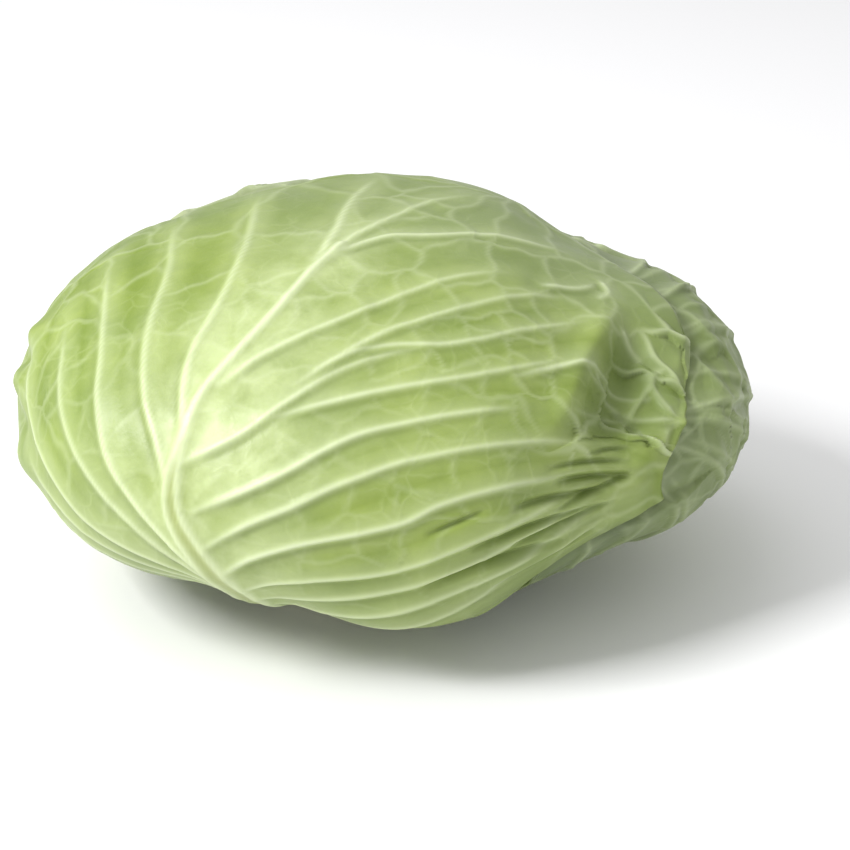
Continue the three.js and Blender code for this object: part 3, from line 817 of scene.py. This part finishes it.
# ---------------------------------------------------------------------- front wrapper leaf
# The outermost leaf covers the front and the top. Its fleshy midrib rises from the stem and
# curves to the left, with strong side veins that run out to the right in long pleats.
# A midrib is its stations, half width and height, and a side vein its width, height, paleness
# and stations. Widths and heights of veins and folds are in millimetres, stations in degrees.
FRONT_MIDRIB = (((8, 1), (20, 2), (35, 3.5), (48, 3), (58, 1), (68, -2), (78, -3), (88, -3), (98, -3),
                 (110, -1), (122, 0), (132, 0), (142, 0)), 0.0095, 0.0050)
FRONT_VEINS = (
    (1.2, 0.56, 0.9, ((138, 0), (147, 4), (152, 10), (157, 15), (162, 20), (170, 28))),
    (1.0, 0.42, 0.8, ((136, -1), (146, -3), (152, -5), (160, -7), (172, -9))),
    (0.9, 0.35, 0.8, ((138, 0), (145, 0), (150, 1), (156, 2), (163, 3), (174, 6))),
    (1.2, 0.63, 0.85, ((88, -3), (98, -6), (107, -8), (118, -9), (128, -11), (138, -14), (150, -19),
                     (158, -22))),
    (1.1, 0.49, 0.8, ((74, -3), (85, -7), (93, -11), (100, -14), (108, -17), (118, -20), (127, -23),
                     (138, -29), (147, -34))),
    (1.2, 0.56, 0.9, ((50, 1), (60, -4), (70, -10), (78, -15), (85, -18), (93, -21), (102, -24),
                     (112, -29), (122, -35), (132, -41))),
    (1.0, 0.49, 0.8, ((46, 2), (54, -4), (61, -9), (68, -15), (75, -21), (82, -26), (90, -30),
                     (100, -34), (112, -40))),
    (1.0, 0.49, 0.8, ((41, 3), (48, -5), (53, -13), (58, -21), (64, -28), (71, -35), (80, -41),
                     (90, -45), (100, -47))),
    (1.0, 0.42, 0.8, ((38, 3), (44, -6), (48, -15), (52, -24), (58, -33), (66, -41))),
    (0.9, 0.35, 0.7, ((34, 3), (39, -5), (42, -14), (45, -24), (50, -34), (58, -46))),
    (1.3, 0.63, 1.0, ((82, -2), (89, 4), (94, 7), (100, 10), (106, 13), (111, 16), (116, 20), (121, 25))),
    (1.0, 0.42, 0.8, ((101, -1), (110, 3), (117, 7), (124, 11), (131, 14.5), (138, 17.5), (144, 21),
                     (150, 26))),
    (0.8, 0.35, 0.7, ((108, 12), (119, 16), (126, 20), (133, 24), (139, 27), (146, 31), (152, 36))),
    (0.9, 0.35, 0.8, ((104, 10), (113, 14), (118, 19), (121, 25), (126, 30), (133, 34), (140, 38),
                     (148, 42))),
    (0.9, 0.42, 0.8, ((95, 8), (104, 19), (109, 25), (113, 30), (118, 35), (124, 40), (132, 45))),
    (1.3, 0.70, 1.0, ((70, 1), (78, 9), (84, 14), (90, 18), (95, 22), (99, 27), (103, 32), (107, 38),
                     (110, 44))),
    (1.2, 0.56, 0.9, ((59, 2), (68, 9), (74, 15), (80, 20), (84, 24), (88, 28), (91, 32), (95, 38),
                     (98, 45), (99, 52), (97, 60))),
    (1.3, 0.70, 1.0, ((49, 3), (57, 9), (62, 15), (65, 20), (68, 26), (71, 31), (76, 35), (80, 40),
                     (83, 46), (84, 52), (88, 62))),
    (1.1, 0.63, 0.8, ((42, 4), (47, 11), (50, 18), (52, 26), (55, 32), (59, 37), (63, 42), (68, 48),
                     (74, 55), (84, 64))),
    (1.0, 0.63, 0.75, ((36, 5), (40, 14), (43, 22), (46, 30), (50, 37), (54, 43), (58, 49), (65, 56),
                     (78, 66))),
    (1.0, 0.56, 0.7, ((30, 6), (33, 16), (36, 25), (40, 34), (44, 42), (48, 49), (56, 58), (70, 68))),
    (0.9, 0.49, 0.6, ((24, 7), (28, 22), (32, 32), (37, 42), (44, 54), (56, 66))),
    (0.7, 0.42, 0.8, ((131, 48), (120, 59), (110, 66))),
    (0.7, 0.42, 0.8, ((118, 38), (131, 48), (129, 56), (132, 61), (138, 62))),
    (0.7, 0.49, 0.9, ((128, 70), (138, 62), (146, 58), (152, 60))),
    (0.8, 0.49, 0.9, ((128, 70), (115, 70), (100, 72))),
    (0.7, 0.42, 0.8, ((150, 46), (149, 50), (148, 55))),
    (0.7, 0.35, 0.7, ((150, 30), (156, 34), (163, 35))),
    (0.7, 0.35, 0.7, ((163, 35), (160, 38), (155, 38))),
    (0.7, 0.35, 0.7, ((128, 70), (120, 64), (115, 56), (110, 48))),
)
FRONT_FOLDS = (
    (1.3, 2.4, ((44, 32), (47, 36), (50, 42), (50, 48), (48, 54))),
    (1.3, 2.4, ((58, 40), (60, 44), (63, 50), (63, 56), (60, 62))),
    (1.3, 2.2, ((73, 46), (74, 50), (73, 56), (70, 62))),
    (1.2, 2.2, ((82, 52), (82, 56), (81, 61), (79, 66))),
    (1.2, 2.0, ((120, 57), (118, 60), (112, 64), (106, 67), (100, 68))),
    (1.1, 1.4, ((129, 68), (128, 72), (127, 76))),
    (1.2, 1.8, ((54, 46), (57, 52), (58, 58), (62, 64))),
    (1.1, 1.6, ((67, 52), (70, 57), (74, 62), (80, 66))),
    (1.1, 1.6, ((88, 50), (90, 55), (90, 60), (88, 66))),
    (1.1, 1.4, ((36, 40), (39, 47), (42, 54), (46, 60))),
    (1.0, 1.2, ((66, 34), (70, 38), (74, 42))),
    (1.0, 1.4, ((94, 56), (97, 60), (98, 65))),
)


def front_net(p, q):
    """Where the front leaf's net stands out: at the right end, and a little towards the tip."""
    return np.clip(ease(q, 47, 58) * ease(p, 84, 110) + 0.07 * ease(p, 96, 130) + 0.08, 0, 1)


# The net is its number of cells, how far its walls wander, its height, its paleness and where.
FRONT_CELLS = (366, 258)
FRONT_NET = (150, 0.0012, 0.0022, 0.6, front_net)
front_finish = leaf_finish("front wrapper leaf", deep_green=(108, 130, 32), green=(141, 160, 64),
                           pale=(188, 202, 144), vein_tint=(218, 228, 188), bloom_tint=(134, 147, 108),
                           bloom_share=0.62)
vertices, marks = wrapper_surfaces(0, front_tip, FRONT_CELLS, FRONT_ROUNDING, FRONT_MIDRIB, FRONT_VEINS,
                                   FRONT_FOLDS, FRONT_NET)
shell_piece("wrapper_leaf_1_blade", vertices, leaf_faces(FRONT_CELLS, COARSER), front_finish,
            ["wrapper_leaf_1"], marks)

# ---------------------------------------------------------------- the wrapper leaves under it
# Seven leaves follow, one golden angle apart about the stem. The second and third cover the
# back and the right end, grey-green with a bulging net of veins, and the rest show at margins.
PLAIN_MIDRIB = (((8, 0), (40, 0.5), (80, -0.5), (120, 0.5), (160, 0), (186, 0)), 0.009, 0.0032)
PLAIN_LATERALS = 8
SECOND_CELLS, THIRD_CELLS, LATER_CELLS = (318, 228), (222, 162), (150, 108)
PLAIN_VEIN_TINT, PLAIN_BLOOM_TINT = (184, 196, 154), (102, 112, 90)
# The three greens of a leaf, first at the outside of the head and then at its middle.
OUTER_GREENS = np.array(((92, 110, 50), (114, 132, 70), (150, 163, 114)))
MIDDLE_GREENS = np.array(((180, 194, 116), (196, 208, 138), (214, 222, 172)))


def plain_net(p, q):
    """Where the net of a plain leaf stands out: least at the stalk."""
    return 0.25 + 0.75 * ease(p, 60, 120)


PLAIN_NET = (150, 0.0012, 0.0014, 0.42, plain_net)
for number in range(1, WRAPPER_COUNT):
    cells = {1: SECOND_CELLS, 2: THIRD_CELLS}.get(number, LATER_CELLS)
    share = number / WRAPPER_COUNT
    deep, green, pale = OUTER_GREENS * (1 - share) + MIDDLE_GREENS * share
    finish = leaf_finish(f"wrapper leaf {number + 1}", deep, green, pale, PLAIN_VEIN_TINT, PLAIN_BLOOM_TINT,
                         0.7 if number < 3 else 0.3)
    dice = np.random.default_rng(40 + number)
    vertices, marks = wrapper_surfaces(number, WRAPPER_TIP, cells, ROUNDING, PLAIN_MIDRIB,
                                       lateral_veins(dice, PLAIN_LATERALS), (), PLAIN_NET)
    shell_piece(f"wrapper_leaf_{number + 1}_blade", vertices, leaf_faces(cells, COARSER), finish,
                [f"wrapper_leaf_{number + 1}"], marks)
